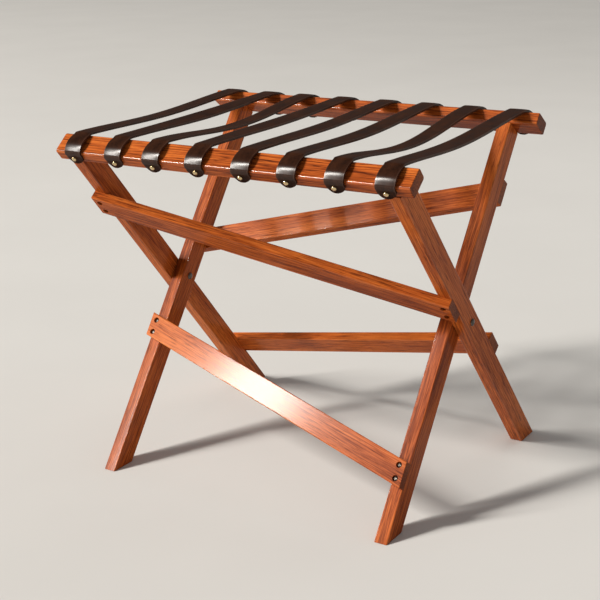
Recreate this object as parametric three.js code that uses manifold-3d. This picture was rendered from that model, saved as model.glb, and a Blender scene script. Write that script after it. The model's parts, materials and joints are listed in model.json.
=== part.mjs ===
// Folding luggage bench: two crossed timber frames, diagonal stretchers, eight leather straps.
// Millimetres, +X along the rails, +Y to the back, +Z up, origin on the floor at the middle.
import * as THREE from 'three';
import { mergeVertices } from 'three/addons/utils/BufferGeometryUtils.js';
import Module from 'manifold-3d';

const wasm = await Module();
wasm.setup();

// Timber
const RAIL_LENGTH = 600;
const TIMBER_DEPTH = 36;
const TIMBER_THICK = 21;
const ARRIS = 2.5;
const RAIL_OVERHANG = 19;

// Stance: the pivot's height, the legs' length above it and each frame's lean from upright
const PIVOT_HEIGHT = 267;
const ARM_UP = 317;
const OUTER_LEAN = THREE.MathUtils.degToRad(39.5);
const INNER_LEAN = THREE.MathUtils.degToRad(37);

// Stretchers: boards let a little into the legs
const BOARD_WIDTH = 37.5;
const BOARD_THICK = 16;
const BOARD_LET_IN = 2;
const BOARD_TILT = THREE.MathUtils.degToRad(15.9);
const UPPER_BOARD_AT = 145;
const LOWER_BOARD_AT = -174;

// Tenons at the leg tops
const TENON_X = 10;
const TENON_Y = 22;
const TENON_Z = 8;

// Clearances
const SEAT_GAP = 0.15;
const HOLE_GAP = 0.3;

// Pivot hardware
const WASHER_THICK = 1;
const WASHER_RADIUS = 9;
const BOLT_RADIUS = 3;
const CAP_RADIUS = 5.5;
const CAP_HEIGHT = 2.6;
const BOLT_END = 1.4;

// Stretcher screws, sunk below the board's face
const SINK_RADIUS = 4.6;
const SINK_DEPTH = 4.5;
const BOARD_SCREW_RADIUS = 1.9;
const BOARD_SCREW_HEAD = 3.7;
const BOARD_SCREW_HEAD_HEIGHT = 2;
const BOARD_SCREW_GRIP = 15;
const BOARD_SCREW_SPREAD = 10;

// Straps: eight, set out by hand, each with its own shift, sag and lowest point along the span.
// The stiff leather stands off the rail in an arch whose top is nearer the rail's outer edge,
// and leaves the rail level before it sags. Below its screw each tail stands a little off the rail
// and stops short of the rail's lower edge.
const STRAP_WIDTH = 29;
const STRAP_THICK = 3.4;
const STRAP_PITCH = 75.8;
const STRAP_STOP = 1.2;
const STRAP_KICK = 2.5;
const STRAP_TIP = 2;
const STRAP_BEND = 4;
const STRAP_NOSE = 0.45;
const STRAP_ARCH = 5.4;
const STRAP_ARCH_PEAK = 0.4;
const FRONT_LIFT = 1.6;
const BACK_LIFT = 0.8;
const STRAP_STEPS = 2;
const STRAP_STIFF = 1.8;
const STRAP_SHIFT = [1.6, 1.9, -3.9, -3.2, 0.5, 0, -0.5, 0];
const STRAP_SAG = [5.6, 3, 12.5, 2.6, 4.7, 6.8, 17.4, 8.4];
const STRAP_LOW = [0.49, 0.5, 0.5, 0.55, 0.52, 0.475, 0.475, 0.455];

// Dome screws that hold the straps
const DOME_RADIUS = 4;
const DOME_HEIGHT = 3.4;
const DOME_SHANK = 1.7;
const DOME_GRIP = 13;
const DOME_ABOVE_EDGE = 11;
const FRONT_SCREW_SHIFT = [-2.4, 0, 0, 0, -2.8, -2.8, -2.8, -1];

// Derived places
const LEG_GAP = WASHER_THICK + 2 * SEAT_GAP;
const OUTER_SIDE = RAIL_LENGTH / 2 - RAIL_OVERHANG;
const INNER_SIDE = OUTER_SIDE - TIMBER_THICK - LEG_GAP;
const HALF_DEPTH = TIMBER_DEPTH / 2;
const RAIL_TOP = ARM_UP + SEAT_GAP + TIMBER_THICK;
const RAIL_UNDER = ARM_UP + SEAT_GAP;
const BOARD_Y = HALF_DEPTH - BOARD_LET_IN + BOARD_THICK / 2;
const BOARD_FACE_Y = BOARD_Y + BOARD_THICK / 2;
const ROUND = 12;

const walnut = { color: 0x8a3f1c, roughness: 0.42, metalness: 0 };
const leather = { color: 0x2b1c18, roughness: 0.45, metalness: 0 };
const brass = { color: 0xc9a45c, roughness: 0.25, metalness: 1 };
const steel = { color: 0x8c8780, roughness: 0.35, metalness: 1 };

// A closed solid from a three.js geometry: only the merged positions are used
function solid(geometry) {
  const bare = geometry.clone();
  for (const name of Object.keys(bare.attributes)) {
    if (name !== 'position') bare.deleteAttribute(name);
  }
  const merged = mergeVertices(bare, 1e-4);
  const index = merged.index.array;
  const triangles = [];
  for (let i = 0; i < index.length; i += 3) {
    const [a, b, c] = [index[i], index[i + 1], index[i + 2]];
    if (a !== b && b !== c && c !== a) triangles.push(a, b, c);
  }
  return new wasm.Manifold(new wasm.Mesh({
    numProp: 3,
    vertProperties: new Float32Array(merged.attributes.position.array),
    triVerts: new Uint32Array(triangles),
  }));
}

function geometryOf(body) {
  const mesh = body.getMesh();
  const geometry = new THREE.BufferGeometry();
  geometry.setAttribute('position', new THREE.BufferAttribute(new Float32Array(mesh.vertProperties), 3));
  geometry.setIndex(new THREE.BufferAttribute(new Uint32Array(mesh.triVerts), 1));
  geometry.computeVertexNormals();
  return geometry;
}

function piece(name, body, look) {
  const mesh = new THREE.Mesh(geometryOf(body), new THREE.MeshStandardMaterial(look));
  mesh.name = name;
  return mesh;
}

function box(sizeX, sizeY, sizeZ, x, y, z) {
  return solid(new THREE.BoxGeometry(sizeX, sizeY, sizeZ).translate(x, y, z));
}

// A cylinder along local Y between two places
function boreY(radius, x, fromY, toY, z) {
  const length = Math.abs(toY - fromY);
  const geometry = new THREE.CylinderGeometry(radius, radius, length, ROUND);
  return solid(geometry.translate(x, (fromY + toY) / 2, z));
}

function boreX(radius, fromX, toX) {
  const length = Math.abs(toX - fromX);
  const geometry = new THREE.CylinderGeometry(radius, radius, length, ROUND);
  return solid(geometry.rotateZ(Math.PI / 2).translate((fromX + toX) / 2, 0, 0));
}

// Rounded rectangle, width along x and height along y, centred
function roundedSection(width, height, radius) {
  const [w, h] = [width / 2 - radius, height / 2 - radius];
  const shape = new THREE.Shape();
  shape.absarc(w, h, radius, 0, Math.PI / 2);
  shape.absarc(-w, h, radius, Math.PI / 2, Math.PI);
  shape.absarc(-w, -h, radius, Math.PI, 1.5 * Math.PI);
  shape.absarc(w, -h, radius, 1.5 * Math.PI, 2 * Math.PI);
  shape.closePath();
  return shape;
}

// Timber bar along z with softened long edges
function bar(width, height, length) {
  const shape = roundedSection(width, height, ARRIS);
  return new THREE.ExtrudeGeometry(shape, { depth: length, bevelEnabled: false, curveSegments: 2 });
}

// The four boards: frame, face (-1 front, +1 back), height at the middle, slope along x, half length
const boards = {
  outer_upper_stretcher: { face: -1, at: UPPER_BOARD_AT, tilt: -BOARD_TILT, side: OUTER_SIDE },
  outer_lower_stretcher: { face: 1, at: LOWER_BOARD_AT, tilt: BOARD_TILT, side: OUTER_SIDE },
  inner_upper_stretcher: { face: 1, at: UPPER_BOARD_AT, tilt: BOARD_TILT, side: INNER_SIDE },
  inner_lower_stretcher: { face: -1, at: LOWER_BOARD_AT, tilt: -BOARD_TILT, side: INNER_SIDE },
};

// Where a board's four screws go, in the frame's own axes
function boardScrews(board) {
  const places = [];
  for (const end of [-1, 1]) {
    const x = end * (board.side - TIMBER_THICK / 2);
    const middle = board.at + x * Math.tan(board.tilt);
    for (const step of [1, -1]) {
      places.push({ x, z: middle + step * BOARD_SCREW_SPREAD, end: end < 0 ? 'left' : 'right', step });
    }
  }
  return places;
}

function boardBlank(board, grow) {
  const long = 2.4 * board.side;
  const geometry = grow > 0
    ? new THREE.BoxGeometry(BOARD_WIDTH + 2 * grow, BOARD_THICK + 2 * grow, long)
    : bar(BOARD_WIDTH, BOARD_THICK, long).translate(0, 0, -long / 2);
  geometry.rotateY(Math.PI / 2).rotateY(-board.tilt);
  return solid(geometry.translate(0, board.face * BOARD_Y, board.at));
}

function boardBody(board) {
  let body = boardBlank(board, 0).intersect(box(2 * board.side, 200, 900, 0, 0, 0));
  for (const { x, z } of boardScrews(board)) {
    const face = board.face * BOARD_FACE_Y;
    const floor = board.face * (BOARD_FACE_Y - SINK_DEPTH);
    body = body.subtract(boreY(SINK_RADIUS, x, floor, face + board.face, z));
    body = body.subtract(boreY(BOARD_SCREW_RADIUS + HOLE_GAP, x, 0, face, z));
  }
  return body;
}

// A round piece turned about its axis, the profile given as [radius, height] from the tip up
function turned(profile) {
  const points = profile.map(([radius, height]) => new THREE.Vector2(radius, height));
  return new THREE.LatheGeometry(points, ROUND);
}

function domeProfile(radius, height, from) {
  const steps = 3;
  const points = [];
  for (let i = 0; i <= steps; i += 1) {
    const a = (i / steps) * Math.PI / 2;
    points.push([i === steps ? 0 : radius * Math.cos(a), from + height * (0.25 + 0.75 * Math.sin(a))]);
  }
  return points;
}

function boardScrewBody(board, place) {
  const seat = BOARD_FACE_Y - SINK_DEPTH + SEAT_GAP;
  const tip = HALF_DEPTH - BOARD_SCREW_GRIP;
  const shank = BOARD_SCREW_RADIUS;
  const geometry = turned([
    [0, tip], [shank, tip + 3], [shank, seat],
    [BOARD_SCREW_HEAD, seat], ...domeProfile(BOARD_SCREW_HEAD, BOARD_SCREW_HEAD_HEIGHT, seat),
  ]);
  if (board.face < 0) geometry.rotateX(Math.PI);
  return solid(geometry.translate(place.x, 0, place.z));
}

// One leg in its frame's axes: pivot at the origin, z up the leg, y to the back
function legBody(sideX, lean, frameBoards) {
  const x = sideX - Math.sign(sideX) * TIMBER_THICK / 2;
  const below = 2 * PIVOT_HEIGHT;
  let body = solid(bar(TIMBER_THICK, TIMBER_DEPTH, ARM_UP + below).translate(x, 0, -below));
  const floor = new THREE.BoxGeometry(4 * TIMBER_THICK, 2000, 600).translate(x, 0, -300 - PIVOT_HEIGHT);
  body = body.subtract(solid(floor.rotateX(-lean)));
  const tenonZ = ARM_UP + TENON_Z / 2 - 1;
  body = body.add(box(TENON_X, TENON_Y, TENON_Z + 2, x, 0, tenonZ));
  body = body.subtract(boreX(BOLT_RADIUS + HOLE_GAP, x - TIMBER_THICK, x + TIMBER_THICK));
  for (const board of frameBoards) {
    body = body.subtract(boardBlank(board, SEAT_GAP));
    for (const place of boardScrews(board).filter((spot) => spot.x * sideX > 0)) {
      const deep = board.face * (HALF_DEPTH - BOARD_SCREW_GRIP - 1);
      const radius = BOARD_SCREW_RADIUS + HOLE_GAP;
      body = body.subtract(boreY(radius, place.x, deep, board.face * HALF_DEPTH * 1.2, place.z));
    }
  }
  return body;
}

const strapCentres = STRAP_SHIFT.map((shift, i) => (i - (STRAP_SHIFT.length - 1) / 2) * STRAP_PITCH + shift);
const domeZ = RAIL_UNDER + DOME_ABOVE_EDGE;
const tailTip = RAIL_UNDER + STRAP_STOP;
const domePlaces = (face) => strapCentres.map((x, i) => x + (face < 0 ? FRONT_SCREW_SHIFT[i] : 0));

// A rail with mortises for the tenons and pilot holes for the strap screws; face -1 front, +1 back
function railBody(side, face) {
  const blank = bar(TIMBER_THICK, TIMBER_DEPTH, RAIL_LENGTH);
  blank.rotateY(Math.PI / 2).translate(-RAIL_LENGTH / 2, 0, RAIL_UNDER + TIMBER_THICK / 2);
  let body = solid(blank);
  const depth = TENON_Z + 1 + HOLE_GAP;
  for (const end of [-1, 1]) {
    const x = end * (side - TIMBER_THICK / 2);
    const z = RAIL_UNDER - 1 + depth / 2;
    body = body.subtract(box(TENON_X + 2 * HOLE_GAP, TENON_Y + 2 * HOLE_GAP, depth, x, 0, z));
  }
  for (const x of domePlaces(face)) {
    const deep = face * (HALF_DEPTH - DOME_GRIP - 1);
    body = body.subtract(boreY(DOME_SHANK + HOLE_GAP, x, deep, face * (HALF_DEPTH + 5), domeZ));
  }
  return body;
}

// Strap screw in its frame's axes: the dome sits on the strap, the shank runs into the rail
function domeScrewBody(x, face) {
  const seat = HALF_DEPTH + 2 * SEAT_GAP + STRAP_THICK;
  const tip = HALF_DEPTH - DOME_GRIP;
  const geometry = turned([
    [0, tip], [DOME_SHANK, tip + 3], [DOME_SHANK, seat],
    [DOME_RADIUS, seat], ...domeProfile(DOME_RADIUS, DOME_HEIGHT, seat),
  ]);
  if (face < 0) geometry.rotateX(Math.PI);
  return solid(geometry.translate(x, 0, domeZ));
}

// Frame axes to upright axes about the pivot
function upright(y, z, lean) {
  const [c, s] = [Math.cos(lean), Math.sin(lean)];
  return new THREE.Vector2(y * c - z * s, y * s + z * c);
}

// The power that moves the top of an even bump to the given share of its length
function evenSkew(peak) {
  return Math.log(0.5) / Math.log(peak);
}

// One rail's share of a strap's centre line, from its tail to where the free span begins.
// face is -1 on the front rail and +1 on the back rail; lean is the frame's turn about X.
function railWrap(face, lean, lift) {
  const half = STRAP_THICK / 2 + SEAT_GAP;
  const at = (out, z) => upright(face * out, z, lean);
  const points = [
    at(HALF_DEPTH + half + STRAP_KICK, tailTip),
    at(HALF_DEPTH + half + 0.3 * STRAP_KICK, (tailTip + domeZ - 1.15 * DOME_RADIUS) / 2),
    at(HALF_DEPTH + half, domeZ - 1.15 * DOME_RADIUS),
    at(HALF_DEPTH + half, domeZ - DOME_RADIUS),
    at(HALF_DEPTH + half, domeZ),
    at(HALF_DEPTH + half, domeZ + 0.7 * DOME_RADIUS),
    at(HALF_DEPTH + half, domeZ + DOME_RADIUS),
  ];
  points.push(at(HALF_DEPTH + half + STRAP_NOSE, RAIL_TOP - 0.85 * half));
  points.push(at(HALF_DEPTH + 0.57 * half, RAIL_TOP + 0.9 * half));
  for (const across of [0.04, 0.15, 0.28, 0.42, 0.57, 0.72, 0.87]) {
    const rise = Math.sin(Math.PI * across ** evenSkew(STRAP_ARCH_PEAK));
    points.push(at((1 - 2 * across) * HALF_DEPTH, RAIL_TOP + half + rise * STRAP_ARCH));
  }
  const crest = at(-HALF_DEPTH + STRAP_BEND, RAIL_TOP - STRAP_BEND);
  for (const share of [0.5, 0.12]) {
    const a = Math.PI / 2 + lean * share;
    const reach = STRAP_BEND + half + lift;
    points.push(new THREE.Vector2(crest.x + reach * Math.cos(a), crest.y + reach * Math.sin(a)));
  }
  return points;
}

function strapLine(sag, low) {
  const front = railWrap(-1, OUTER_LEAN, FRONT_LIFT);
  const back = railWrap(1, -INNER_LEAN, BACK_LIFT).reverse();
  const from = front[front.length - 1];
  const to = back[0];
  const span = [];
  for (let i = 1; i < 10; i += 1) {
    const t = i / 10;
    const u = t ** evenSkew(low);
    const point = from.clone().lerp(to, t);
    point.y -= sag * Math.sin(Math.PI * u) ** STRAP_STIFF;
    span.push(point);
  }
  const all = [...front, ...span, ...back].map((point) => new THREE.Vector3(point.x, point.y, 0));
  const curve = new THREE.CatmullRomCurve3(all, false, 'centripetal');
  return curve.getPoints(STRAP_STEPS * (all.length - 1));
}

// The tongue-shaped tail, almost a half circle with a short flat at its tip: what lies outside it
// is cut away, in the frame's own axes
function tailCutter(x, face) {
  const corner = (STRAP_WIDTH - STRAP_TIP) / 2;
  const reach = 2 * corner;
  const keep = roundedSection(STRAP_WIDTH, 2 * reach, corner);
  const prism = new THREE.ExtrudeGeometry(keep, { depth: 32, bevelEnabled: false, curveSegments: 8 });
  prism.translate(0, 0, -16).rotateX(Math.PI / 2).translate(x, face * HALF_DEPTH, tailTip + reach);
  const block = box(STRAP_WIDTH + 4, 28, 4 + corner, x, face * HALF_DEPTH, tailTip - 4 + (4 + corner) / 2);
  return block.subtract(solid(prism));
}

function strapBody(i) {
  const x = strapCentres[i];
  const line = strapLine(STRAP_SAG[i], STRAP_LOW[i]);
  const sides = [[], []];
  line.forEach((point, i) => {
    const before = line[Math.max(i - 1, 0)];
    const after = line[Math.min(i + 1, line.length - 1)];
    const along = after.clone().sub(before).normalize();
    const half = STRAP_THICK / 2;
    sides[0].push(new THREE.Vector2(point.x - along.y * half, point.y + along.x * half));
    sides[1].push(new THREE.Vector2(point.x + along.y * half, point.y - along.x * half));
  });
  const shape = new THREE.Shape([...sides[1], ...sides[0].reverse()]);
  const ribbon = new THREE.ExtrudeGeometry(shape, { depth: STRAP_WIDTH, bevelEnabled: false });
  const axes = new THREE.Matrix4().makeBasis(
    new THREE.Vector3(0, 1, 0), new THREE.Vector3(0, 0, 1), new THREE.Vector3(1, 0, 0),
  );
  ribbon.applyMatrix4(axes).translate(x - STRAP_WIDTH / 2, 0, 0);
  let body = solid(ribbon);
  for (const [face, lean] of [[-1, OUTER_LEAN], [1, -INNER_LEAN]]) {
    const toFrame = THREE.MathUtils.radToDeg(lean);
    const screw = domePlaces(face)[i];
    const hole = boreY(DOME_SHANK + HOLE_GAP, screw, face * (HALF_DEPTH - 3), face * (HALF_DEPTH + 9), domeZ);
    body = body.subtract(hole.rotate([toFrame, 0, 0]));
    body = body.subtract(tailCutter(x, face).rotate([toFrame, 0, 0]));
  }
  return body;
}

// Pivot hardware along X, built for the right side and turned round for the left
function pivotPieces(end) {
  const seat = OUTER_SIDE + SEAT_GAP;
  const inner = INNER_SIDE - TIMBER_THICK - SEAT_GAP;
  const boltProfile = [
    [0, inner - BOLT_END], [BOLT_RADIUS, inner - BOLT_END], [BOLT_RADIUS, seat],
    [CAP_RADIUS, seat], ...domeProfile(CAP_RADIUS, CAP_HEIGHT, seat),
  ];
  const hole = BOLT_RADIUS + SEAT_GAP;
  const floor = inner - BOLT_END - SEAT_GAP;
  const cap = domeProfile(CAP_RADIUS, CAP_HEIGHT, 0).reverse().map(([r, h]) => [r, inner - h]);
  const capProfile = [...cap, [CAP_RADIUS, inner], [hole, inner], [hole, floor], [0, floor]];
  const ringFrom = OUTER_SIDE - TIMBER_THICK - SEAT_GAP - WASHER_THICK;
  const ringHole = BOLT_RADIUS + HOLE_GAP;
  const ringProfile = [
    [ringHole, ringFrom], [WASHER_RADIUS, ringFrom],
    [WASHER_RADIUS, ringFrom + WASHER_THICK], [ringHole, ringFrom + WASHER_THICK], [ringHole, ringFrom],
  ];
  const lay = (profile) => solid(turned(profile).rotateZ(end > 0 ? -Math.PI / 2 : Math.PI / 2));
  return { bolt: lay(boltProfile), cap: lay(capProfile), washer: lay(ringProfile) };
}

const rack = new THREE.Group();
const outer = new THREE.Group();
const inner = new THREE.Group();
const span = new THREE.Group();
outer.rotation.x = OUTER_LEAN;
inner.rotation.x = -INNER_LEAN;

const frames = [
  { group: outer, key: 'outer', side: OUTER_SIDE, lean: OUTER_LEAN, rail: 'front_rail', face: -1 },
  { group: inner, key: 'inner', side: INNER_SIDE, lean: -INNER_LEAN, rail: 'back_rail', face: 1 },
];

for (const { group, key, side, lean, rail, face } of frames) {
  const own = Object.entries(boards).filter(([name]) => name.startsWith(key));
  const ownBoards = own.map(([, board]) => board);
  group.add(piece(`${key}_leg_left`, legBody(-side, lean, ownBoards), walnut));
  group.add(piece(`${key}_leg_right`, legBody(side, lean, ownBoards), walnut));
  group.add(piece(rail, railBody(side, face), walnut));
  for (const [name, board] of own) {
    group.add(piece(name, boardBody(board), walnut));
    for (const place of boardScrews(board)) {
      const screw = `${name.replace('stretcher', 'screw')}_${place.end}_${place.step > 0 ? 'a' : 'b'}`;
      group.add(piece(screw, boardScrewBody(board, place), steel));
    }
  }
  domePlaces(face).forEach((x, i) => {
    const name = `${rail.replace('rail', 'dome_screw')}_${i + 1}`;
    group.add(piece(name, domeScrewBody(x, face), brass));
  });
}

strapCentres.forEach((_, i) => {
  span.add(piece(`strap_${i + 1}`, strapBody(i), leather));
});

for (const [end, word] of [[-1, 'left'], [1, 'right']]) {
  const { bolt, cap, washer } = pivotPieces(end);
  outer.add(piece(`pivot_bolt_${word}`, bolt, steel));
  outer.add(piece(`pivot_cap_${word}`, cap, steel));
  outer.add(piece(`pivot_washer_${word}`, washer, steel));
}

// The pivot stands where the whole bench is centred front to back over the origin
rack.add(outer, inner, span);
rack.updateMatrixWorld(true);
const reach = new THREE.Box3().setFromObject(rack, true);
const pivotY = -(reach.min.y + reach.max.y) / 2;
for (const group of [outer, inner, span]) group.position.set(0, pivotY, PIVOT_HEIGHT);

export default rack;
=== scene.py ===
import json
import math

import bmesh
import bpy
from mathutils import Matrix, Vector


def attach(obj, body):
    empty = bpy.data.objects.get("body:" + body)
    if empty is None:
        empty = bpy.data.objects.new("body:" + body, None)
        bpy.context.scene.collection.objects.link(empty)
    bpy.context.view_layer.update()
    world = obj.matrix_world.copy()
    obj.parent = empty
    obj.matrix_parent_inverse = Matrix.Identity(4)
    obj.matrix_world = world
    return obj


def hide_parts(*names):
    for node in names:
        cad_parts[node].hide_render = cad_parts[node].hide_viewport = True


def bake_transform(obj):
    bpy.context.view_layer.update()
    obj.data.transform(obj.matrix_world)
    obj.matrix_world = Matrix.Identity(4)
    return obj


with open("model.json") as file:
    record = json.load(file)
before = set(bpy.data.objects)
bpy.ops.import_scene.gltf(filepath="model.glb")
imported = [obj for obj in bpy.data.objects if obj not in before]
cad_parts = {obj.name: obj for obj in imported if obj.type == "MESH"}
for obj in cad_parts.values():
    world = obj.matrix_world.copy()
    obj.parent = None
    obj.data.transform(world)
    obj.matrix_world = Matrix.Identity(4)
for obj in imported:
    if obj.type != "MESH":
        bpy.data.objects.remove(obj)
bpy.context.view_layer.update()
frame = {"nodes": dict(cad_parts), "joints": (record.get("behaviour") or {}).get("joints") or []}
print("frame loaded:", len(frame["nodes"]), "nodes")

# the bench's stance, metres and radians, as the solids have it
bench = {
    "pivot": Vector(frame["joints"][0]["pos_m"]),
    "lean": {"outer": math.radians(39.5), "inner": math.radians(-37)},
    "side": {"outer": 0.281, "inner": 0.2587},   # outer faces of the legs
    "armUp": 0.317,   # from the pivot to the rail's seat
    "timberDepth": 0.036,
    "timberThick": 0.021,
    "seatGap": 0.00015,
}
halfDepth = bench["timberDepth"] / 2
halfThick = bench["timberThick"] / 2
railUnder = bench["armUp"] + bench["seatGap"]
railTop = railUnder + bench["timberThick"]
hair = 1e-5   # places closer than this are the same
shadeAngle = {"timber": 32, "metal": 40, "leather": 60}   # degrees, past which an edge stays crisp


def frameAxes(side):
    turn = Matrix.Rotation(bench["lean"][side], 4, "X")
    return Matrix.Translation(bench["pivot"]) @ turn


# hand tools: small steps that the pieces share

def deselectAll():
    bpy.ops.object.select_all(action="DESELECT")


def makeActive(piece):
    deselectAll()
    piece.select_set(True)
    bpy.context.view_layer.objects.active = piece


def settle(name):
    piece = bpy.context.object
    piece.name = piece.data.name = name
    bpy.ops.object.transform_apply(location=True, rotation=True, scale=True)
    return piece


def addBlock(name, low, high):
    deselectAll()
    size = [b - a for a, b in zip(low, high)]
    middle = [(a + b) / 2 for a, b in zip(low, high)]
    bpy.ops.mesh.primitive_cube_add(size=1, location=middle, scale=size)
    return settle(name)


def pickEdges(piece, wanted):
    makeActive(piece)
    bpy.ops.object.mode_set(mode="EDIT")
    bpy.ops.mesh.select_mode(type="EDGE")
    bpy.ops.mesh.select_all(action="DESELECT")
    net = bmesh.from_edit_mesh(piece.data)
    for edge in net.edges:
        if wanted(edge.verts[0].co, edge.verts[1].co):
            edge.select_set(True)
    bmesh.update_edit_mesh(piece.data)


def bevelEdges(piece, wanted, width, segments):
    pickEdges(piece, wanted)
    bpy.ops.mesh.bevel(offset=width, segments=segments, profile=0.5, affect="EDGES")
    bpy.ops.object.mode_set(mode="OBJECT")


def cutAway(piece, point, normal):
    # drops what lies behind the plane and closes the cut
    makeActive(piece)
    bpy.ops.object.mode_set(mode="EDIT")
    bpy.ops.mesh.select_all(action="SELECT")
    bpy.ops.mesh.bisect(plane_co=point, plane_no=normal, use_fill=True, clear_inner=True)
    bpy.ops.object.mode_set(mode="OBJECT")


def faceOut():
    # the last step in edit mode: turns every face outwards
    bpy.ops.mesh.select_all(action="SELECT")
    bpy.ops.mesh.normals_make_consistent(inside=False)
    bpy.ops.object.mode_set(mode="OBJECT")


def applyModifier(piece, kind, **settings):
    makeActive(piece)
    step = piece.modifiers.new(kind.lower(), kind)
    for key, value in settings.items():
        setattr(step, key, value)
    bpy.ops.object.modifier_apply(modifier=step.name)


def carve(piece, cutter):
    applyModifier(piece, "BOOLEAN", object=cutter, operation="DIFFERENCE", solver="EXACT")
    bpy.data.objects.remove(cutter)


def turnPiece(name, profile, sides):
    # a round piece built up from its tip: each ring is extruded and resized
    deselectAll()
    (radius, height), rest = profile[0], profile[1:]
    bpy.ops.mesh.primitive_circle_add(vertices=sides, radius=radius, fill_type="NGON",
                                      location=(0, 0, height))
    piece = settle(name)
    bpy.ops.object.mode_set(mode="EDIT")
    bpy.ops.mesh.select_all(action="SELECT")
    for nextRadius, nextHeight in rest:
        lift = {"value": (0, 0, nextHeight - height)}
        bpy.ops.mesh.extrude_region_move(TRANSFORM_OT_translate=lift)
        share = nextRadius / radius
        bpy.ops.transform.resize(value=(share, share, 1), center_override=(0, 0, nextHeight))
        radius, height = nextRadius, nextHeight
    faceOut()
    return piece


def softShade(piece, degrees):
    makeActive(piece)
    bpy.ops.object.shade_smooth_by_angle(angle=math.radians(degrees))
    applyModifier(piece, "WEIGHTED_NORMAL", keep_sharp=True)


def putAt(piece, matrix):
    makeActive(piece)
    piece.matrix_world = matrix
    bpy.ops.object.transform_apply(location=True, rotation=True, scale=True)


def copyOf(piece, name):
    twin = piece.copy()
    twin.data = piece.data.copy()
    twin.name = twin.data.name = name
    bpy.context.collection.objects.link(twin)
    return twin


def noteOn(piece, name, kind, values):
    # a value for each vertex, read by the materials
    field = piece.data.attributes.new(name, kind, "POINT")
    if kind == "FLOAT_VECTOR":
        field.data.foreach_set("vector", [c for value in values for c in value])
    else:
        field.data.foreach_set("value", values)


# materials

def newMaterial(name):
    material = bpy.data.materials.new(name)
    material.use_nodes = True
    tree = material.node_tree
    return material, tree, tree.nodes["Principled BSDF"]


def addNode(tree, kind, **settings):
    node = tree.nodes.new(kind)
    for key, value in settings.items():
        if key in node.inputs:
            node.inputs[key].default_value = value
        else:
            setattr(node, key, value)
    return node


def mathNode(tree, operation, first, second=0.0):
    node = tree.nodes.new("ShaderNodeMath")
    node.operation = operation
    for socket, value in zip(node.inputs, (first, second)):
        if isinstance(value, (int, float)):
            socket.default_value = value
        else:
            tree.links.new(value, socket)
    return node.outputs[0]


def times(tree, first, second):
    return mathNode(tree, "MULTIPLY", first, second)


def plus(tree, first, second):
    return mathNode(tree, "ADD", first, second)


def minus(tree, first, second):
    return mathNode(tree, "SUBTRACT", first, second)


def ramp(tree, factor, stops):
    node = tree.nodes.new("ShaderNodeValToRGB")
    bar = node.color_ramp
    bar.elements[0].position, bar.elements[0].color = stops[0][0], (*stops[0][1], 1)
    bar.elements[1].position, bar.elements[1].color = stops[-1][0], (*stops[-1][1], 1)
    for place, colour in stops[1:-1]:
        bar.elements.new(place).color = (*colour, 1)
    tree.links.new(factor, node.inputs["Fac"])
    return node.outputs["Color"]


def tintsOf(look, names):
    return [(look[f"{name}At"], look[name]) for name in names]


def mixColour(tree, factor, first, second):
    node = tree.nodes.new("ShaderNodeMix")
    node.data_type = "RGBA"
    tree.links.new(factor, node.inputs["Factor"])
    for socket, value in ((node.inputs[6], first), (node.inputs[7], second)):   # the two colours
        if isinstance(value, tuple):
            socket.default_value = (*value, 1)
        else:
            tree.links.new(value, socket)
    return node.outputs[2]


def spread(tree, value, low, high, toLow=0.0, toHigh=1.0):
    node = tree.nodes.new("ShaderNodeMapRange")
    node.interpolation_type = "SMOOTHSTEP"
    for key, number in (("From Min", low), ("From Max", high), ("To Min", toLow), ("To Max", toHigh)):
        node.inputs[key].default_value = number
    tree.links.new(value, node.inputs["Value"])
    return node.outputs["Result"]


def noiseOn(tree, vector, scale, detail=2.0, roughness=0.5, at=(0, 0, 0), output="Fac"):
    # at shifts the pattern, so that two noises don't line up
    mapping = addNode(tree, "ShaderNodeMapping", Scale=scale, Location=at)
    tree.links.new(vector, mapping.inputs["Vector"])
    noise = addNode(tree, "ShaderNodeTexNoise", Scale=1.0, Detail=detail, Roughness=roughness)
    tree.links.new(mapping.outputs["Vector"], noise.inputs["Vector"])
    return noise.outputs[output]


def readNote(tree, name, output="Fac"):
    return addNode(tree, "ShaderNodeAttribute", attribute_name=name).outputs[output]


def addRelief(tree, shader, height, look):
    bump = addNode(tree, "ShaderNodeBump", Strength=look["bump"], Distance=look["bumpDeep"])
    tree.links.new(height, bump.inputs["Height"])
    tree.links.new(bump.outputs["Normal"], shader.inputs["Normal"])


# limits in the looks: from low, from high, and what these become where that isn't 0 and 1
timberLook = {
    "dark": (0.057, 0.0108, 0.0041),
    "deep": (0.2109, 0.0376, 0.0071), "deepAt": 0.32,
    "mid": (0.4389, 0.0923, 0.0157), "midAt": 0.42,
    "pale": (0.6441, 0.1676, 0.0302), "paleAt": 0.54,
    "worn": (0.54, 0.19, 0.05), "wornLimits": (0.3, 0.7, 0.0, 0.3),
    "endGrain": (0.07, 0.017, 0.007), "endShare": 0.6,
    # how fine each pattern is: twice across the bar, then along it
    "wander": (6, 6, 1.8), "wanderBy": 0.016,
    "rings": (130, 130, 3.0), "ringCount": 10.0, "ringShare": 0.10,
    "fibre": (720, 720, 20), "fibreShare": 0.50, "fibreRelief": 0.4,
    "tone": (14, 14, 2.2), "toneShare": 0.42,
    "gaps": (420, 420, 38), "gapLimits": (0.44, 0.56, 0.12, 1.0), "lineLimits": (0.64, 0.94),
    "pores": (760, 760, 46), "poreLimits": (0.57, 0.70, 0, 0.6), "poreRough": 0.2,
    "roughLimits": (0.25, 0.75, 0.44, 0.32), "bump": 0.25, "bumpDeep": 0.0003,
    "specular": 0.04, "coat": 0.15, "arrisCoat": 0.8, "coatRough": 0.11,
}


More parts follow.
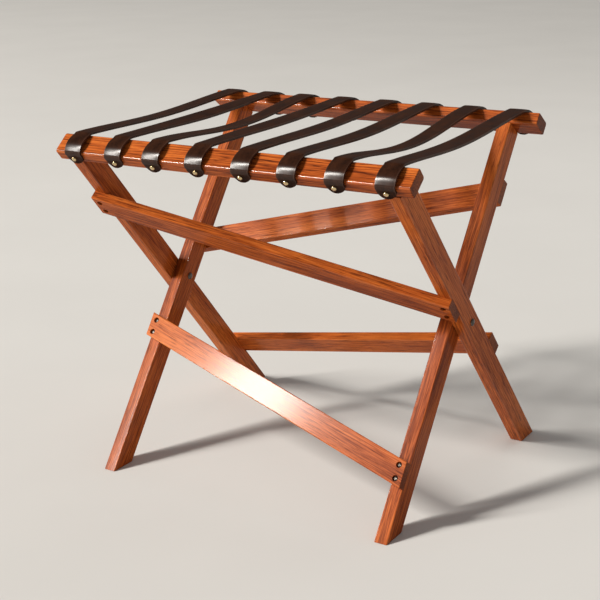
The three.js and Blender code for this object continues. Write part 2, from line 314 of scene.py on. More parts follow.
def hardwood():
    look = timberLook
    material, tree, shader = newMaterial("oiledHardwood")
    link = tree.links.new
    grain = readNote(tree, "grain", "Vector")
    # slow wander of the grain along the bar
    wander = noiseOn(tree, grain, look["wander"], output="Color")
    shift = addNode(tree, "ShaderNodeVectorMath", operation="SCALE", Scale=look["wanderBy"])
    link(wander, shift.inputs[0])
    bent = addNode(tree, "ShaderNodeVectorMath", operation="ADD")
    link(grain, bent.inputs[0])
    link(shift.outputs["Vector"], bent.inputs[1])
    along = bent.outputs["Vector"]
    # growth rings: contours of a stretched noise, each ending in a thin dark line
    rings = noiseOn(tree, along, look["rings"], detail=3.0)
    wave = mathNode(tree, "PINGPONG", times(tree, rings, look["ringCount"]), 1.0)
    fibre = noiseOn(tree, along, look["fibre"], detail=4.0, roughness=0.6)
    tone = noiseOn(tree, grain, look["tone"], at=(5, 0, 2))
    figure = readNote(tree, "figure")
    field = plus(tree, times(tree, fibre, look["fibreShare"]), times(tree, tone, look["toneShare"]))
    field = minus(tree, field, times(tree, times(tree, wave, figure), look["ringShare"]))
    colour = ramp(tree, field, tintsOf(look, ("deep", "mid", "pale")))
    # the dark lines are broken into dashes by the pores
    gaps = noiseOn(tree, along, look["gaps"], at=(3, 1, 0))
    lines = times(tree, spread(tree, wave, *look["lineLimits"]), spread(tree, gaps, *look["gapLimits"]))
    colour = mixColour(tree, times(tree, lines, figure), colour, look["dark"])
    pores = spread(tree, noiseOn(tree, grain, look["pores"], at=(0, 7, 0)), *look["poreLimits"])
    colour = mixColour(tree, pores, colour, look["dark"])
    endGrain = readNote(tree, "endGrain")
    colour = mixColour(tree, times(tree, endGrain, look["endShare"]), colour, look["endGrain"])
    wear = times(tree, readNote(tree, "wear"), minus(tree, 1.0, endGrain))   # cut ends stay dull
    rubbed = times(tree, wear, spread(tree, tone, *look["wornLimits"]))
    colour = mixColour(tree, rubbed, colour, look["worn"])
    link(colour, shader.inputs["Base Color"])
    rough = spread(tree, fibre, *look["roughLimits"])
    link(plus(tree, rough, times(tree, pores, look["poreRough"])), shader.inputs["Roughness"])
    addRelief(tree, shader, minus(tree, times(tree, fibre, look["fibreRelief"]), pores), look)
    shader.inputs["Specular IOR Level"].default_value = look["specular"]
    # hands have polished the arrises
    coat = plus(tree, times(tree, wear, look["arrisCoat"]), look["coat"])
    link(coat, shader.inputs["Coat Weight"])
    shader.inputs["Coat Roughness"].default_value = look["coatRough"]
    return material


leatherLook = {
    "strapWidth": 0.029,
    "dark": (0.0150, 0.0054, 0.0029), "darkAt": 0.36,
    "brown": (0.048, 0.0165, 0.0076), "brownAt": 0.66,
    # edge: paler colour along both strap edges, partly rubbed wear and partly a painted highlight
    "edge": (0.066, 0.031, 0.019), "rubAndHighlightLimits": (0.3, 0.7, 0.3, 0.9),
    "rubAndHighlightFrom": 0.0016, "rubAndHighlightTo": 0.0004,   # in from the edge
    # how fine each pattern is: across the strap, along it, and from strap to strap
    "cloud": (60, 34, 20), "cloudShare": 0.65,
    "mottle": (420, 420, 20), "mottleShare": 0.35,
    "wrinkle": (90, 900, 20), "wrinkleShare": 0.5,
    "pebble": 1100.0, "pebbleSoft": 0.6, "pebbleShare": 0.5,
    "creaseIn": 0.0026, "creaseLimits": (0.0002, 0.0006, 1, 0), "creaseDeep": 1.2,
    "roughLimits": (0.3, 0.7, 0.40, 0.55), "bump": 0.22, "bumpDeep": 0.0003,
    "specular": 0.03, "bendCoat": 0.66, "edgeCoat": 0.24, "coatRough": 0.22,
}


def waxedLeather():
    look = leatherLook
    material, tree, shader = newMaterial("waxedLeather")
    link = tree.links.new
    flat = readNote(tree, "flatPlace", "Vector")
    cloud = noiseOn(tree, flat, look["cloud"], detail=4.0, roughness=0.6)
    mottle = noiseOn(tree, flat, look["mottle"], detail=3.0, at=(3, 1, 0))
    mix = plus(tree, times(tree, cloud, look["cloudShare"]), times(tree, mottle, look["mottleShare"]))
    colour = ramp(tree, mix, tintsOf(look, ("dark", "brown")))
    # burnished edge: the outer millimetre and a half is rubbed and paler; the paler colour is partly wear
    # and partly a painted highlight along the edges
    parts = addNode(tree, "ShaderNodeSeparateXYZ")
    link(flat, parts.inputs[0])
    across = mathNode(tree, "ABSOLUTE", parts.outputs["X"])
    half = look["strapWidth"] / 2
    edge = spread(tree, across, half - look["rubAndHighlightFrom"], half - look["rubAndHighlightTo"])
    rubAndHighlight = times(tree, edge, spread(tree, cloud, *look["rubAndHighlightLimits"]))
    colour = mixColour(tree, rubAndHighlight, colour, look["edge"])
    link(colour, shader.inputs["Base Color"])
    # creased line that the maker tools along both edges
    fold = mathNode(tree, "ABSOLUTE", minus(tree, across, half - look["creaseIn"]))
    groove = spread(tree, fold, *look["creaseLimits"])
    cells = addNode(tree, "ShaderNodeTexVoronoi", feature="SMOOTH_F1", Scale=look["pebble"],
                    Smoothness=look["pebbleSoft"])
    link(flat, cells.inputs["Vector"])
    wrinkle = noiseOn(tree, flat, look["wrinkle"], detail=3.0, roughness=0.6, at=(1, 4, 0))
    relief = plus(tree, times(tree, cells.outputs["Distance"], look["pebbleShare"]),
                  times(tree, wrinkle, look["wrinkleShare"]))
    relief = minus(tree, relief, times(tree, groove, look["creaseDeep"]))
    addRelief(tree, shader, relief, look)
    link(spread(tree, mix, *look["roughLimits"]), shader.inputs["Roughness"])
    shader.inputs["Specular IOR Level"].default_value = look["specular"]
    # hands have polished the bends over the rails
    polish = readNote(tree, "polish")
    coat = plus(tree, times(tree, polish, look["bendCoat"]), times(tree, edge, look["edgeCoat"]))
    link(coat, shader.inputs["Coat Weight"])
    shader.inputs["Coat Roughness"].default_value = look["coatRough"]
    return material


brassLook = {
    "bright": (0.78, 0.61, 0.35), "brightAt": 0.35,
    "dull": (0.45, 0.32, 0.15), "dullAt": 0.72,
    "stain": 300, "fine": 2100, "roughLimits": (0.3, 0.7, 0.13, 0.27), "bump": 0.08, "bumpDeep": 0.0001,
}
steelLook = {
    "bright": (0.16, 0.145, 0.13), "brightAt": 0.35,
    "dull": (0.065, 0.057, 0.05), "dullAt": 0.72,
    "stain": 260, "fine": 1820, "roughLimits": (0.3, 0.7, 0.30, 0.46), "bump": 0.08, "bumpDeep": 0.0001,
}


def metal(name, look):
    material, tree, shader = newMaterial(name)
    link = tree.links.new
    place = addNode(tree, "ShaderNodeTexCoord").outputs["Object"]
    stain = noiseOn(tree, place, [look["stain"]] * 3, detail=4.0, roughness=0.6)
    fine = noiseOn(tree, place, [look["fine"]] * 3)
    link(ramp(tree, stain, tintsOf(look, ("bright", "dull"))), shader.inputs["Base Color"])
    link(spread(tree, stain, *look["roughLimits"]), shader.inputs["Roughness"])
    addRelief(tree, shader, fine, look)
    shader.inputs["Metallic"].default_value = 1.0
    return material


timberFinish = hardwood()
leatherFinish = waxedLeather()
brassFinish = metal("agedBrass", brassLook)
steelFinish = metal("darkSteel", steelLook)
print("materials made")


def finishPiece(piece, finish, body, node):
    piece.data.materials.clear()
    piece.data.materials.append(finish)
    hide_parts(node)
    if body:
        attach(piece, body)


# timber: legs, rails and stretchers

arris = {
    "rail": 0.0036, "leg": 0.0018, "board": 0.0014, "segments": 4,
    "endEase": 0.0007, "endSegments": 2,
    "longEdge": 0.1,   # only the edges along a bar are longer
}
grainDraw = {"count": 0, "step": (0.137, 0.211, 0.73), "wrap": (0.31, 0.29)}
alongX = Matrix(((0, 1, 0, 0), (0, 0, 1, 0), (1, 0, 0, 0), (0, 0, 0, 1)))   # stands a bar on X up along Z


def easeLong(piece, axis, width):
    longEdge = lambda a, b: abs(a[axis] - b[axis]) > arris["longEdge"]
    bevelEdges(piece, longEdge, width, arris["segments"])


def easeEnds(piece, atEnd, width):
    aroundEnd = lambda a, b: atEnd(a) and atEnd(b) and (a - b).length < arris["longEdge"]
    bevelEdges(piece, aroundEnd, width, arris["endSegments"])


def markTimber(piece, own, halfX, halfY, radius, figure, atEnd):
    # own turns a place in the frame's axes into the bar's own: x, y across, z along
    grainDraw["count"] += 1
    stepX, stepY, stepZ = [step * grainDraw["count"] for step in grainDraw["step"]]
    wrapX, wrapY = grainDraw["wrap"]
    offset = Vector((stepX % wrapX, stepY % wrapY, stepZ))
    places = [own @ vert.co for vert in piece.data.vertices]
    noteOn(piece, "grain", "FLOAT_VECTOR", [place + offset for place in places])
    wear = []
    for place in places:
        dx, dy = halfX - abs(place.x), halfY - abs(place.y)
        onCorner = max(dx, dy) < radius + hair
        wear.append(max(0.0, 1 - abs(dx - dy) / radius) if onCorner else 0.0)
    noteOn(piece, "wear", "FLOAT", wear)
    noteOn(piece, "figure", "FLOAT", [figure] * len(places))
    noteOn(piece, "endGrain", "FLOAT", [float(atEnd(vert.co)) for vert in piece.data.vertices])


def seatTimber(piece, side, node):
    softShade(piece, shadeAngle["timber"])
    putAt(piece, frameAxes(side))
    finishPiece(piece, timberFinish, f"{side}_frame", node)


stretchers = {
    "width": 0.0375, "thick": 0.016, "letIn": 0.002, "tilt": math.radians(15.9),
    "upperAt": 0.145, "lowerAt": -0.174,
    "blank": 1.2,   # length before the ends are cut, as a share of the frame's width
    "housing": 0.4,   # half the length of the cutter that lets it into the legs
    "sinkRadius": 0.0046, "sinkDepth": 0.0045, "sinkCutter": 0.010, "sinkSides": 40, "screwSpread": 0.010,
    # face -1 front, +1 back; rise +1 climbs to the right; figure: how strong its grain is
    "boards": {
        "outer_upper": {"side": "outer", "face": -1, "at": "upperAt", "rise": -1, "figure": 0.6},
        "outer_lower": {"side": "outer", "face": 1, "at": "lowerAt", "rise": 1, "figure": 0.5},
        "inner_upper": {"side": "inner", "face": 1, "at": "upperAt", "rise": 1, "figure": 0.5},
        "inner_lower": {"side": "inner", "face": -1, "at": "lowerAt", "rise": -1, "figure": 0.35},
    },
}
boardY = halfDepth - stretchers["letIn"] + stretchers["thick"] / 2
boardFaceY = boardY + stretchers["thick"] / 2


def boardAxes(board):
    turn = Matrix.Rotation(-board["rise"] * stretchers["tilt"], 4, "Y")
    return Matrix.Translation((0, board["face"] * boardY, stretchers[board["at"]])) @ turn


def boardScrews(board):
    places = []
    for end, word in ((-1, "left"), (1, "right")):
        x = end * (bench["side"][board["side"]] - halfThick)
        middle = stretchers[board["at"]] + x * math.tan(board["rise"] * stretchers["tilt"])
        for step, letter in ((1, "a"), (-1, "b")):
            places.append((x, middle + step * stretchers["screwSpread"], f"{word}_{letter}"))
    return places


def makeStretcher(key, board):
    side = bench["side"][board["side"]]
    long, thick, wide = stretchers["blank"] * side, stretchers["thick"] / 2, stretchers["width"] / 2
    piece = addBlock(f"{key}_board", (-long, -thick, -wide), (long, thick, wide))
    easeLong(piece, 0, arris["board"])
    axes = boardAxes(board)
    putAt(piece, axes)
    for end in (-1, 1):   # ends cut in line with the legs
        cutAway(piece, (end * side, 0, 0), (-end, 0, 0))
    atEnd = lambda place: abs(abs(place.x) - side) < hair
    easeEnds(piece, atEnd, arris["endEase"])
    cutter = stretchers["sinkCutter"]
    cutterY = board["face"] * (boardFaceY - stretchers["sinkDepth"] + cutter / 2)
    for x, z, _ in boardScrews(board):
        deselectAll()
        bpy.ops.mesh.primitive_cylinder_add(
            vertices=stretchers["sinkSides"], radius=stretchers["sinkRadius"], depth=cutter,
            location=(x, cutterY, z), rotation=(math.pi / 2, 0, 0))
        carve(piece, settle("sink"))
    markTimber(piece, alongX @ axes.inverted(), thick, wide, arris["board"], board["figure"], atEnd)
    seatTimber(piece, board["side"], f"{key}_stretcher")


legs = {"figure": 0.45, "blank": 0.45}   # blank: reach below the pivot before the foot is cut


def onFloor(side):
    up = Vector((0, math.sin(bench["lean"][side]), math.cos(bench["lean"][side])))
    return up, up * -bench["pivot"].z


def makeLeg(side, end, word):
    middle = end * (bench["side"][side] - halfThick)
    top = bench["armUp"]
    low = (middle - halfThick, -halfDepth, -legs["blank"])
    piece = addBlock(f"{side}_leg_{word}_timber", low, (middle + halfThick, halfDepth, top))
    up, floorAt = onFloor(side)
    cutAway(piece, floorAt, up)
    easeLong(piece, 2, arris["leg"])
    atEnd = lambda place: abs(place.z - top) < hair or abs((place - floorAt).dot(up)) < hair
    easeEnds(piece, atEnd, arris["endEase"])
    reach = stretchers["housing"]
    thick = stretchers["thick"] / 2 + bench["seatGap"]
    wide = stretchers["width"] / 2 + bench["seatGap"]
    for board in stretchers["boards"].values():
        if board["side"] == side:   # shallow housing for the board
            cutter = addBlock("housing", (-reach, -thick, -wide), (reach, thick, wide))
            putAt(cutter, boardAxes(board))
            carve(piece, cutter)
    own = Matrix.Translation((-middle, 0, 0))
    markTimber(piece, own, halfThick, halfDepth, arris["leg"], legs["figure"], atEnd)
    seatTimber(piece, side, f"{side}_leg_{word}")


rails = {"length": 0.6, "endEase": 0.0012, "figure": 0.8}


def makeRail(side, node):
    half = rails["length"] / 2
    piece = addBlock(f"{node}_timber", (-half, -halfDepth, railUnder), (half, halfDepth, railTop))
    easeLong(piece, 0, arris["rail"])
    atEnd = lambda place: abs(abs(place.x) - half) < hair
    easeEnds(piece, atEnd, rails["endEase"])
    own = alongX @ Matrix.Translation((0, 0, -(railUnder + railTop) / 2))
    markTimber(piece, own, halfDepth, halfThick, arris["rail"], rails["figure"], atEnd)
    seatTimber(piece, side, node)


for side, node in (("outer", "front_rail"), ("inner", "back_rail")):
    makeRail(side, node)
    makeLeg(side, -1, "left")
    makeLeg(side, 1, "right")
for key, board in stretchers["boards"].items():
    makeStretcher(key, board)
print("timber made")


# screws in the stretchers, sunk below the face

boardScrew = {
    "shank": 0.0019, "grip": 0.015, "head": 0.0037, "headHigh": 0.002, "headRings": 5, "sides": 28,
    "slotWide": 0.0009, "slotLong": 0.0044, "slotDeep": 0.0011, "slotClear": 0.002,
    "firstTurn": 0.7, "nextTurn": 1.9, "faceTurn": 11,   # radians, so that the slots point all ways
}
screwTip = {"radius": 0.0003, "long": 0.003}
# a dome: the share of its height that stands upright, and the steps from its last ring to the pole
domeForm = {"lip": 0.25, "pastLast": 0.35}


def shankRings(shank, tip, seat):
    return [(screwTip["radius"], tip), (shank, tip + screwTip["long"]), (shank, seat)]


def domeRings(radius, height, base, steps):
    lip = domeForm["lip"]
    rings = []
    for step in range(steps + 1):
        angle = math.pi / 2 * step / (steps + domeForm["pastLast"])
        rings.append((radius * math.cos(angle), base + height * (lip + (1 - lip) * math.sin(angle))))
    return rings


def towardFace(face):
    # +Z of a turned piece to the frame's front (-1) or back (+1)
    return Matrix.Rotation(math.pi / 2 if face < 0 else -math.pi / 2, 4, "X")


def seatMetal(piece, place, finish, body, node):
    putAt(piece, place)
    softShade(piece, shadeAngle["metal"])
    finishPiece(piece, finish, body, node)


def makeBoardScrews():
    seat = boardFaceY - stretchers["sinkDepth"] + bench["seatGap"]
    head = boardScrew["head"]
    profile = shankRings(boardScrew["shank"], halfDepth - boardScrew["grip"], seat) + [(head, seat)]
    profile += domeRings(head, boardScrew["headHigh"], seat, boardScrew["headRings"])
    master = turnPiece("boardScrew", profile, boardScrew["sides"])
    top = seat + boardScrew["headHigh"]
    low, high = top - boardScrew["slotDeep"], top + boardScrew["slotClear"]
    narrow, long = boardScrew["slotWide"] / 2, boardScrew["slotLong"] / 2
    for x, y in ((narrow, long), (long, narrow)):   # cross recess
        carve(master, addBlock("slot", (-x, -y, low), (x, y, high)))
    for key, board in stretchers["boards"].items():
        side, face = board["side"], board["face"]
        for count, (x, z, tag) in enumerate(boardScrews(board)):
            piece = copyOf(master, f"{key}_screw_{tag}_head")
            turn = boardScrew["firstTurn"] + boardScrew["nextTurn"] * count
            turn += boardScrew["faceTurn"] * face
            spun = towardFace(face) @ Matrix.Rotation(turn, 4, "Z")
            place = frameAxes(side) @ Matrix.Translation((x, 0, z)) @ spun
            seatMetal(piece, place, steelFinish, f"{side}_frame", f"{key}_screw_{tag}")
    bpy.data.objects.remove(master)


makeBoardScrews()
print("stretcher screws made")


# straps

strap = {
    "count": 8, "width": leatherLook["strapWidth"], "thick": 0.0034, "pitch": 0.0758, "tipFlat": 0.002,
    "shift": (0.0016, 0.0019, -0.0039, -0.0032, 0.0005, 0, -0.0005, 0),   # set out one by one
    "sag": (0.0056, 0.003, 0.0125, 0.0026, 0.0047, 0.0068, 0.0174, 0.0084), "stiff": 1.8,
    "low": (0.49, 0.5, 0.5, 0.55, 0.52, 0.475, 0.475, 0.455),   # share of the span where it hangs lowest
    "roll": (-0.0004, 0.0018, -0.0006, 0.001, 0.0005, 0.0006, -0.0009, 0.0004),   # left edge up
    "skew": (-0.0012, -0.001, -0.0005, -0.0005, -0.0015, -0.0015, -0.0018, -0.0018),   # front tail aside
    "skewReach": 0.026, "crown": 0.00035,
    "columns": 12, "tipRows": 12, "wrapRow": 0.0016, "spanRow": 0.006, "wrapMargin": 0.012,
    "spanPoints": 10, "lineSteps": 16,
    "edgeRound": 0.0012, "edgeSegments": 3, "edgeAngle": 50,
    "nextGrain": 0.013,   # how far the grain moves on from strap to strap
}
# the way over a rail, from the tail: metres, then shares of the size that each line of railWrap names
wrap = {
    "stop": 0.0012, "kick": 0.0025, "nose": 0.00045, "arch": 0.0054, "bend": 0.004,
    "frontLift": 0.0016, "backLift": 0.0008,
    "flatFrom": 1.15, "midKick": 0.3, "underDome": (-1, 0, 0.7, 1),
    "noseDrop": 0.85, "shoulderOut": 0.57, "shoulderUp": 0.9,
    "archAt": (0.04, 0.15, 0.28, 0.42, 0.57, 0.72, 0.87), "archPeak": 0.4,
    "crestTurns": (0.5, 0.12),
}
handPolish = {"least": 0.05, "from": 0.015, "rise": 0.008, "to": 0.037, "fall": 0.009}   # from a tip
dome = {
    "radius": 0.004, "high": 0.0034, "rings": 8, "sides": 40, "shank": 0.0017, "grip": 0.013,
    "aboveEdge": 0.011, "sunk": 0.0006, "underShare": 0.96, "lipHigh": 0.0002,
    "frontShift": (-0.0024, 0, 0, 0, -0.0028, -0.0028, -0.0028, -0.001),
}
domeZ = railUnder + dome["aboveEdge"]


def strapCentre(number):
    return (number - (strap["count"] - 1) / 2) * strap["pitch"] + strap["shift"][number]


def evenSkew(peak):
    # the power that moves the top of an even bump to this share of its length
    return math.log(0.5) / math.log(peak)


def upright(y, z, lean):
    return Vector((y * math.cos(lean) - z * math.sin(lean), y * math.sin(lean) + z * math.cos(lean)))


def railWrap(face, lean, lift):
    # centre line over one rail, from the tail to where the free span begins
    half = strap["thick"] / 2 + bench["seatGap"]
    place = lambda out, z: upright(face * out, z, lean)
    out = halfDepth + half
    tip, start = railUnder + wrap["stop"], domeZ - wrap["flatFrom"] * dome["radius"]
    points = [place(out + wrap["kick"], tip)]
    points.append(place(out + wrap["midKick"] * wrap["kick"], (tip + start) / 2))
    points.append(place(out, start))
    points += [place(out, domeZ + share * dome["radius"]) for share in wrap["underDome"]]
    points.append(place(out + wrap["nose"], railTop - wrap["noseDrop"] * half))
    points.append(place(halfDepth + wrap["shoulderOut"] * half, railTop + wrap["shoulderUp"] * half))
    for across in wrap["archAt"]:   # stiff arch over the rail's face
        rise = math.sin(math.pi * across ** evenSkew(wrap["archPeak"])) * wrap["arch"]
        points.append(place((1 - 2 * across) * halfDepth, railTop + half + rise))
    crest = place(-halfDepth + wrap["bend"], railTop - wrap["bend"])
    reach = wrap["bend"] + half + lift
    for share in wrap["crestTurns"]:
        angle = math.pi / 2 + lean * share
        points.append(crest + reach * Vector((math.cos(angle), math.sin(angle))))
    return points


def smoothLine(points, steps):
    # centripetal spline through the points
    ends = [2 * points[0] - points[1], *points, 2 * points[-1] - points[-2]]
    line = []
    for p0, p1, p2, p3 in zip(ends, ends[1:], ends[2:], ends[3:]):
        d0, d1, d2 = ((b - a).length ** 0.5 for a, b in ((p0, p1), (p1, p2), (p2, p3)))
        m1 = ((p1 - p0) / d0 - (p2 - p0) / (d0 + d1) + (p2 - p1) / d1) * d1
        m2 = ((p2 - p1) / d1 - (p3 - p1) / (d1 + d2) + (p3 - p2) / d2) * d1
        for step in range(steps):
            t = step / steps
            line.append(p1 * (2 * t**3 - 3 * t**2 + 1) + m1 * (t**3 - 2 * t**2 + t)
                        + p2 * (3 * t**2 - 2 * t**3) + m2 * (t**3 - t**2))
    return line + [points[-1]]


def strapLine(number):
    front = railWrap(-1, bench["lean"]["outer"], wrap["frontLift"])
    back = railWrap(1, bench["lean"]["inner"], wrap["backLift"])[::-1]
    span = []
    for step in range(1, strap["spanPoints"]):
        t = step / strap["spanPoints"]
        u = t ** evenSkew(strap["low"][number])
        point = front[-1].lerp(back[0], t)
        point.y -= strap["sag"][number] * math.sin(math.pi * u) ** strap["stiff"]
        span.append(point)
    return smoothLine(front + span + back, strap["lineSteps"]), front[-1], back[0]


def alongLine(line):
    lengths = [0.0]
    for a, b in zip(line, line[1:]):
        lengths.append(lengths[-1] + (b - a).length)
    return lengths


def rowPlaces(total, corner, wrapEnd):
    # where the flat strip is crossed by rows: close at the tips and over the rails
    turns = [math.pi / 2 * step / strap["tipRows"] for step in range(strap["tipRows"] + 1)]
    near = max(2, round((wrapEnd - corner) / strap["wrapRow"]))
    far = max(2, round((total / 2 - wrapEnd) / strap["spanRow"]))
    half = [corner * (1 - math.cos(turn)) for turn in turns]
    half += [corner + (wrapEnd - corner) * (step + 1) / near for step in range(near)]
    half += [wrapEnd + (total / 2 - wrapEnd) * (step + 1) / far for step in range(far)]
    return half + [total - place for place in half[-2::-1]]


def polished(s):
    # share of polish this far from a tip: dull tail, bright bend, dull span
    rising = (s - handPolish["from"]) / handPolish["rise"]
    falling = (handPolish["to"] - s) / handPolish["fall"]
    return max(handPolish["least"], min(1.0, rising, falling))


def cutStrip(number, places, corner):
    # a flat strip with tongue-shaped tails; laid has each vertex's place across and along it
    total, halfWide = places[-1], strap["width"] / 2
    deselectAll()
    bpy.ops.mesh.primitive_grid_add(x_subdivisions=strap["columns"], y_subdivisions=len(places) - 1,
                                    size=1, location=(0, 0, 0), scale=(1, 1, 1))
    piece = settle(f"strap_{number + 1}_leather")
    laid = []
    for vert in piece.data.vertices:
        s = places[round((vert.co.y + 0.5) * (len(places) - 1))]
        gone = max(0.0, corner - min(s, total - s))
        reach = halfWide - corner + math.sqrt(max(0.0, corner ** 2 - gone ** 2))
        laid.append((2 * vert.co.x * reach, s))
    return piece, laid


def bendStrip(piece, number, laid, line, lengths, wrapEnd):
    total, halfWide = lengths[-1], strap["width"] / 2
    centre = strapCentre(number)
    for vert, (x, s) in zip(piece.data.vertices, laid):
        aside = strap["skew"][number] * max(0.0, 1 - s / strap["skewReach"])
        at = next((i for i in range(len(lengths) - 1) if lengths[i + 1] >= s), len(lengths) - 2)
        share = (s - lengths[at]) / (lengths[at + 1] - lengths[at])
        spot = line[at].lerp(line[at + 1], min(1.0, max(0.0, share)))
        ahead = (line[min(at + 2, len(line) - 1)] - line[max(at - 1, 0)]).normalized()
        out = Vector((-ahead.y, ahead.x))
        along = (s - wrapEnd) / (total - 2 * wrapEnd)
        twist = math.sin(math.pi * along) ** 2 if 0 < along < 1 else 0.0
        lift = -strap["crown"] * (abs(x) / halfWide) ** 3 - strap["roll"][number] * twist * x / halfWide
        spot = spot + out * lift
        vert.co = (centre + x + aside, spot.x + bench["pivot"].y, spot.y + bench["pivot"].z)


def makeStrap(number):
    line, frontEdge, backEdge = strapLine(number)
    lengths = alongLine(line)
    total = lengths[-1]
    corner = (strap["width"] - strap["tipFlat"]) / 2
    leaves = min(range(len(line)), key=lambda i: (line[i] - frontEdge).length)
    wrapEnd = lengths[leaves] + strap["wrapMargin"]
    piece, laid = cutStrip(number, rowPlaces(total, corner, wrapEnd), corner)
    bendStrip(piece, number, laid, line, lengths, wrapEnd)
    flat = [(x, s - total / 2, strap["nextGrain"] * number) for x, s in laid]
    noteOn(piece, "flatPlace", "FLOAT_VECTOR", flat)
    noteOn(piece, "polish", "FLOAT", [polished(min(s, total - s)) for _, s in laid])
    makeActive(piece)
    bpy.ops.object.mode_set(mode="EDIT")
    faceOut()
    applyModifier(piece, "SOLIDIFY", thickness=strap["thick"], offset=0, use_even_offset=True)
    applyModifier(piece, "BEVEL", width=strap["edgeRound"], segments=strap["edgeSegments"],
                  limit_method="ANGLE", angle_limit=math.radians(strap["edgeAngle"]))
    softShade(piece, shadeAngle["leather"])
    finishPiece(piece, leatherFinish, None, f"strap_{number + 1}")
    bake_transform(piece)
    return total


strapLengths = [makeStrap(number) for number in range(strap["count"])]
print("straps made, flat lengths in mm:", [round(1000 * length, 1) for length in strapLengths])


# dome screws over the strap tails

def makeDomes():
    seat = halfDepth + 2 * bench["seatGap"] + strap["thick"]
    under, radius = seat - dome["sunk"], dome["radius"]
    profile = shankRings(dome["shank"], halfDepth - dome["grip"], under)
    profile += [(radius * dome["underShare"], under), (radius, seat + dome["lipHigh"])]
    profile += domeRings(radius, dome["high"], seat, dome["rings"])
    master = turnPiece("dome", profile, dome["sides"])
    for side, word, face in (("outer", "front", -1), ("inner", "back", 1)):
        for number in range(strap["count"]):
            node = f"{word}_dome_screw_{number + 1}"
            piece = copyOf(master, f"{node}_head")
            x = strapCentre(number) + (dome["frontShift"][number] if face < 0 else 0)
            place = frameAxes(side) @ Matrix.Translation((x, 0, domeZ)) @ towardFace(face)
            seatMetal(piece, place, brassFinish, f"{side}_frame", node)
    bpy.data.objects.remove(master)


makeDomes()
print("dome screws made")


# pivots: bolt, washer between the legs and dome nut on the inside

pivot = {
    "bolt": 0.003, "boltEnd": 0.0014, "cap": 0.0055, "capHigh": 0.0026, "capRings": 7, "sides": 40,
    "washer": 0.009, "washerThick": 0.001, "hole": 0.0033, "holeCutter": 0.01,
}


def makePivots():
    seat = bench["side"]["outer"] + bench["seatGap"]
    inner = bench["side"]["inner"] - bench["timberThick"] - bench["seatGap"]
    bolt = [(pivot["bolt"], inner - pivot["boltEnd"]), (pivot["bolt"], seat), (pivot["cap"], seat)]
    bolt += domeRings(pivot["cap"], pivot["capHigh"], seat, pivot["capRings"])
    boltMaster = turnPiece("pivotBolt", bolt, pivot["sides"])
    nut = [(pivot["cap"], 0.0)] + domeRings(pivot["cap"], pivot["capHigh"], 0.0, pivot["capRings"])
    nutMaster = turnPiece("pivotNut", nut, pivot["sides"])
    ringFrom = bench["side"]["outer"] - bench["timberThick"] - bench["seatGap"] - pivot["washerThick"]
    ring = [(pivot["washer"], 0.0), (pivot["washer"], pivot["washerThick"])]
    ringMaster = turnPiece("pivotWasher", ring, pivot["sides"])
    deselectAll()
    bpy.ops.mesh.primitive_cylinder_add(vertices=pivot["sides"], radius=pivot["hole"],
                                        depth=pivot["holeCutter"], location=(0, 0, 0))
    carve(ringMaster, settle("ringHole"))
    for word, end in (("left", -1), ("right", 1)):
        outward = Matrix.Rotation(end * math.pi / 2, 4, "Y")
        inward = Matrix.Rotation(-end * math.pi / 2, 4, "Y")
        parts = (
            (boltMaster, "bolt", outward),
            (nutMaster, "cap", Matrix.Translation((end * inner, 0, 0)) @ inward),
            (ringMaster, "washer", Matrix.Translation((end * ringFrom, 0, 0)) @ outward),
        )
        for master, kind, place in parts:
            node = f"pivot_{kind}_{word}"
            piece = copyOf(master, f"{node}_steel")
            seatMetal(piece, frameAxes("outer") @ place, steelFinish, "outer_frame", node)
    for master in (boltMaster, nutMaster, ringMaster):
        bpy.data.objects.remove(master)


makePivots()
print("pivots made")


# floor, light and camera

studio = {
    "floorColour": (0.70, 0.69, 0.67), "floorShade": 0.97, "floorCloud": 2.5, "floorStops": (0.3, 0.7),
    "floorRough": 0.9, "floorSpecular": 0.0, "floorSize": 80.0, "floorDrop": 0.0003,
    "skyColour": (1.0, 0.98, 0.95), "skyLight": 0.19, "lampAim": (0, 0, 0.3),
}
lamps = {   # a far, tall key lamp in two parts, a faint fill and a lamp behind
    "key": {"at": (-13.0, -13.84, 16.1), "size": (1.6, 5.5), "power": 5300, "colour": (1.0, 0.96, 0.90)},
    "low": {"at": (-15.27, -16.26, 10.91), "size": (1.6, 7.0), "power": 3000, "colour": (1.0, 0.96, 0.90)},
    "fill": {"at": (2.6, -1.2, 1.5), "size": (2.4, 2.4), "power": 3, "colour": (1.0, 1.0, 1.0)},
    "back": {"at": (0.4, 2.5, 2.9), "size": (2.4, 2.4), "power": 14, "colour": (1.0, 0.99, 0.97)},
}


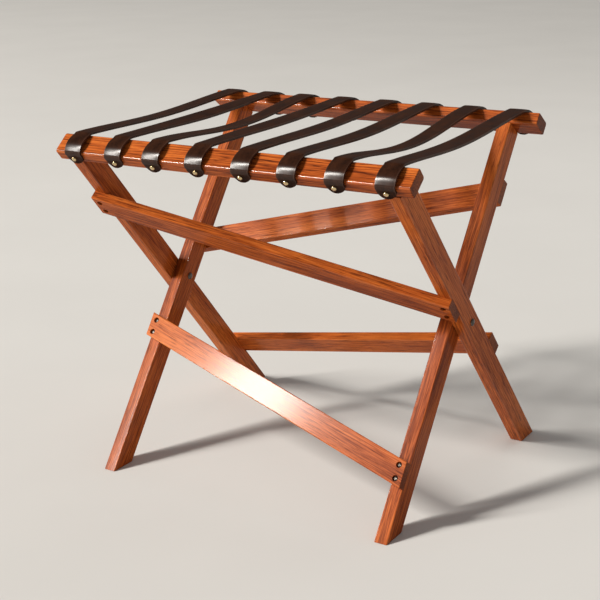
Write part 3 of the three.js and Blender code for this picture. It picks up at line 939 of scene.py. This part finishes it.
def paleFloor():
    deselectAll()
    bpy.ops.mesh.primitive_plane_add(size=studio["floorSize"], location=(0, 0, -studio["floorDrop"]))
    floor = settle("studioFloor")
    material, tree, shader = newMaterial("palePlaster")
    place = addNode(tree, "ShaderNodeTexCoord").outputs["Object"]
    cloud = noiseOn(tree, place, [studio["floorCloud"]] * 3, detail=4.0)
    shaded = tuple(studio["floorShade"] * c for c in studio["floorColour"])
    stops = list(zip(studio["floorStops"], (shaded, studio["floorColour"])))
    tree.links.new(ramp(tree, cloud, stops), shader.inputs["Base Color"])
    shader.inputs["Roughness"].default_value = studio["floorRough"]
    shader.inputs["Specular IOR Level"].default_value = studio["floorSpecular"]
    floor.data.materials.append(material)


def softBox(name, look):
    lamp = bpy.data.lights.new(name, "AREA")
    lamp.shape = "RECTANGLE"
    lamp.size, lamp.size_y = look["size"]
    lamp.energy = look["power"]
    lamp.color = look["colour"]
    thing = bpy.data.objects.new(name, lamp)
    bpy.context.collection.objects.link(thing)
    thing.location = look["at"]
    toward = Vector(studio["lampAim"]) - Vector(look["at"])
    thing.rotation_euler = toward.to_track_quat("-Z", "Y").to_euler()


def skyDome():
    world = bpy.data.worlds.new("studioSky")
    bpy.context.scene.world = world
    world.use_nodes = True
    light = world.node_tree.nodes["Background"]
    light.inputs["Color"].default_value = (*studio["skyColour"], 1)
    light.inputs["Strength"].default_value = studio["skyLight"]


paleFloor()
skyDome()
for lampName, look in lamps.items():
    softBox(f"{lampName}SoftBox", look)

viewer = {
    "at": (1.060889, -1.665763, 0.893315),
    "yaw": math.radians(33.045), "pitch": math.radians(-17.815), "roll": math.radians(-1.744),
    "focalPixels": 1308.821, "imagePixels": 600, "sensor": 36.0,
}


def placeCamera():
    lens = bpy.data.cameras.new("viewCamera")
    lens.sensor_width = viewer["sensor"]
    lens.lens = viewer["focalPixels"] * viewer["sensor"] / viewer["imagePixels"]
    lens.dof.use_dof = False
    thing = bpy.data.objects.new("viewCamera", lens)
    bpy.context.collection.objects.link(thing)
    yaw = Matrix.Rotation(viewer["yaw"], 4, "Z")
    pitch = Matrix.Rotation(math.pi / 2 + viewer["pitch"], 4, "X")
    roll = Matrix.Rotation(viewer["roll"], 4, "Z")
    thing.matrix_world = Matrix.Translation(viewer["at"]) @ yaw @ pitch @ roll
    bpy.context.scene.camera = thing


placeCamera()
bpy.context.scene.view_settings.view_transform = "Standard"
print("studio set")
